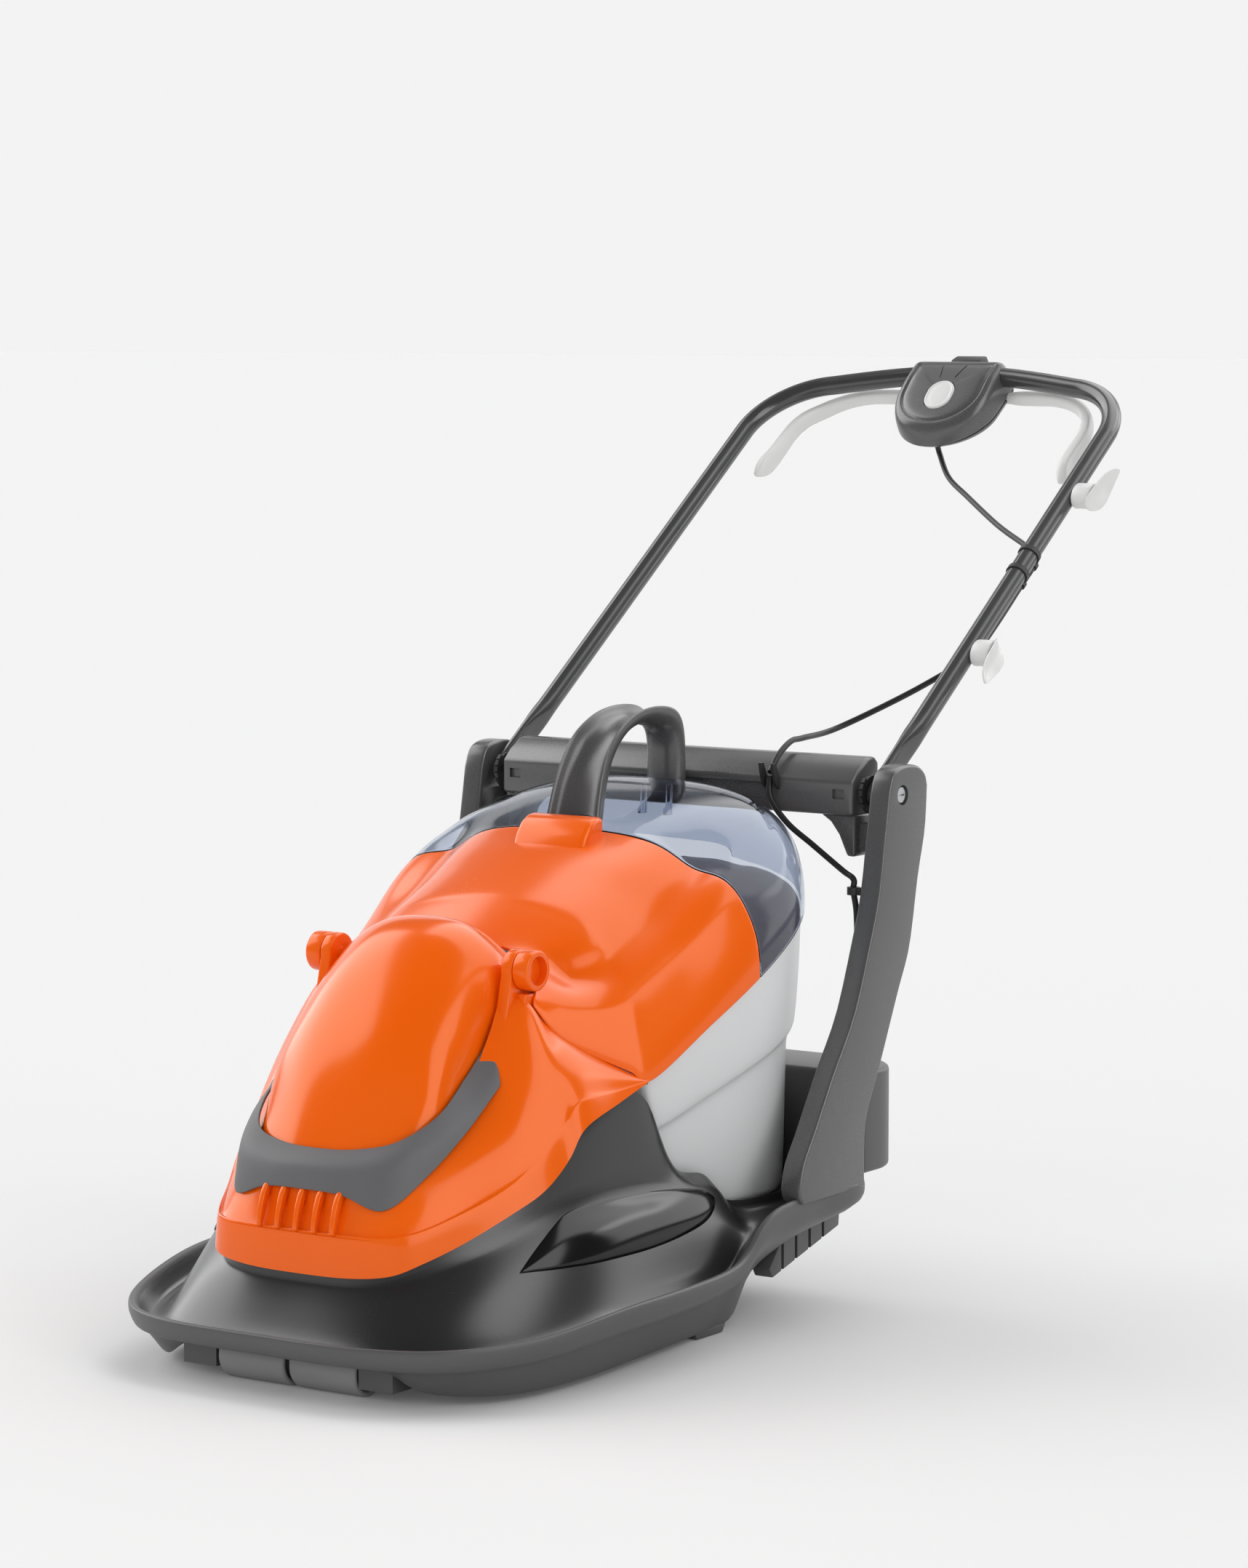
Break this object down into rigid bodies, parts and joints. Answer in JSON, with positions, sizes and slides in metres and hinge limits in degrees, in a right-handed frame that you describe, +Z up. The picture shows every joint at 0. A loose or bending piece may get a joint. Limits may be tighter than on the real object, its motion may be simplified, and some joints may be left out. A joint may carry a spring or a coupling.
{
  "type": "hover mower",
  "caption": "Electric hover mower with a dished deck, orange motor cover, hinged lid with clear window over a grass box, carry handle and folding tubular handle",
  "frame": {"origin": "on the ground under the middle of the bounding box", "axes": "+Y points from the nose to the handle, +X to the right seen from the front of the picture, +Z up"},
  "size_m": [0.5484, 1.3393, 0.9747],
  "materials": {
    "deck_plastic": "satin charcoal moulding",
    "flap_rubber": "matt black",
    "roller_plastic": "matt charcoal",
    "bare_steel": "plain zinc",
    "blade_steel": "ground",
    "motor_plastic": "matt black",
    "winding": "copper",
    "orange_plastic": "gloss orange",
    "trim_plastic": "fine-grained charcoal",
    "box_plastic": "satin light grey",
    "clear_window": "clear moulding",
    "painted_tube": "satin black powder coat",
    "pale_plastic": "satin pale grey",
    "cable_rubber": "matt black sheath"
  },
  "bodies": {
    "chassis": {"deck_hood": "deck_plastic", "tail_skids": "deck_plastic", "rear_housing": "deck_plastic", "rear_flap": "flap_rubber", "roller_blocks": "deck_plastic", "roller_axle": "bare_steel", "motor_mount": "deck_plastic", "motor_can": "bare_steel", "motor_end_cap": "motor_plastic", "stator": "bare_steel", "motor_bearings": "bare_steel", "brush_holders": "motor_plastic", "grass_duct": "deck_plastic", "grass_box": "box_plastic", "motor_cover": "orange_plastic", "nose_dome": "orange_plastic", "nose_trim": "trim_plastic", "hinge_pins": "orange_plastic", "left_arm": "deck_plastic", "right_arm": "deck_plastic", "crossbeam": "deck_plastic", "pivot_rods": "bare_steel", "pivot_screws": "bare_steel", "cable_eye": "deck_plastic", "middle_cable": "cable_rubber", "lower_cable": "cable_rubber", "cable_gland": "deck_plastic"},
    "front_roller_left": {"front_roller_left": "roller_plastic"},
    "front_roller_right": {"front_roller_right": "roller_plastic"},
    "rotor": {"motor_shaft": "bare_steel", "armature": "winding", "commutator": "winding", "fan": "motor_plastic", "blade_spacers": "motor_plastic", "blade": "blade_steel", "blade_bolt": "bare_steel"},
    "lid": {"lid_panel": "orange_plastic", "lid_window": "clear_window", "carry_handle": "trim_plastic"},
    "upper_handle": {"handle_tube": "painted_tube", "detent_plates": "trim_plastic", "switch_box_top": "trim_plastic", "switch_box_base": "trim_plastic", "button_spring": "bare_steel", "lever_shafts": "bare_steel", "microswitch": "motor_plastic", "supply_inlet": "trim_plastic", "box_screws": "bare_steel", "lower_cable_hook": "pale_plastic", "hook_screws": "bare_steel", "cable_clips": "trim_plastic", "upper_cable": "cable_rubber"},
    "lock_off_button": {"lock_off_button": "pale_plastic"},
    "left_lever": {"left_lever": "pale_plastic"},
    "right_lever": {"right_lever": "pale_plastic"},
    "upper_cable_hook": {"upper_cable_hook": "pale_plastic"}
  },
  "joints": [
    {"name": "left_roller_spin", "type": "hinge", "parent": "chassis", "child": "front_roller_left", "pos_m": [-0.043, -0.6014, 0.024], "axis": [1, 0, 0], "continuous": true},
    {"name": "right_roller_spin", "type": "hinge", "parent": "chassis", "child": "front_roller_right", "pos_m": [0.043, -0.6014, 0.024], "axis": [1, 0, 0], "continuous": true},
    {"name": "rotor_spin", "type": "hinge", "parent": "chassis", "child": "rotor", "pos_m": [0, -0.3934, 0.116], "axis": [0, 0, 1], "continuous": true},
    {"name": "lid_open", "type": "hinge", "parent": "chassis", "child": "lid", "pos_m": [0, -0.3974, 0.388], "axis": [1, 0, 0], "range_deg": [0, 65]},
    {"name": "handle_fold", "type": "hinge", "parent": "chassis", "child": "upper_handle", "pos_m": [0, 0.0646, 0.528], "axis": [1, 0, 0], "range_deg": [0, 143.5], "deforming": ["middle_cable"]},
    {"name": "button_press", "type": "slide", "parent": "upper_handle", "child": "lock_off_button", "axis": [0, 0.5906, -0.807], "range_m": [0, 0.004], "stiffness_N_per_m": 500, "springref_m": -0.001, "deforming": ["button_spring"]},
    {"name": "left_lever_squeeze", "type": "hinge", "parent": "upper_handle", "child": "left_lever", "pos_m": [0, 0.64532, 0.92824], "axis": [-1, 0, 0], "range_deg": [0, 8], "stiffness_Nm_per_rad": 2, "springref_deg": -8.59},
    {"name": "right_lever_squeeze", "type": "hinge", "parent": "upper_handle", "child": "right_lever", "pos_m": [0, 0.64532, 0.92824], "axis": [-1, 0, 0], "range_deg": [0, 8], "stiffness_Nm_per_rad": 2, "springref_deg": -8.59},
    {"name": "hook_twist", "type": "hinge", "parent": "upper_handle", "child": "upper_cable_hook", "pos_m": [0.262, 0.46727, 0.82271], "axis": [1, 0, 0], "range_deg": [0, 180]}
  ]
}
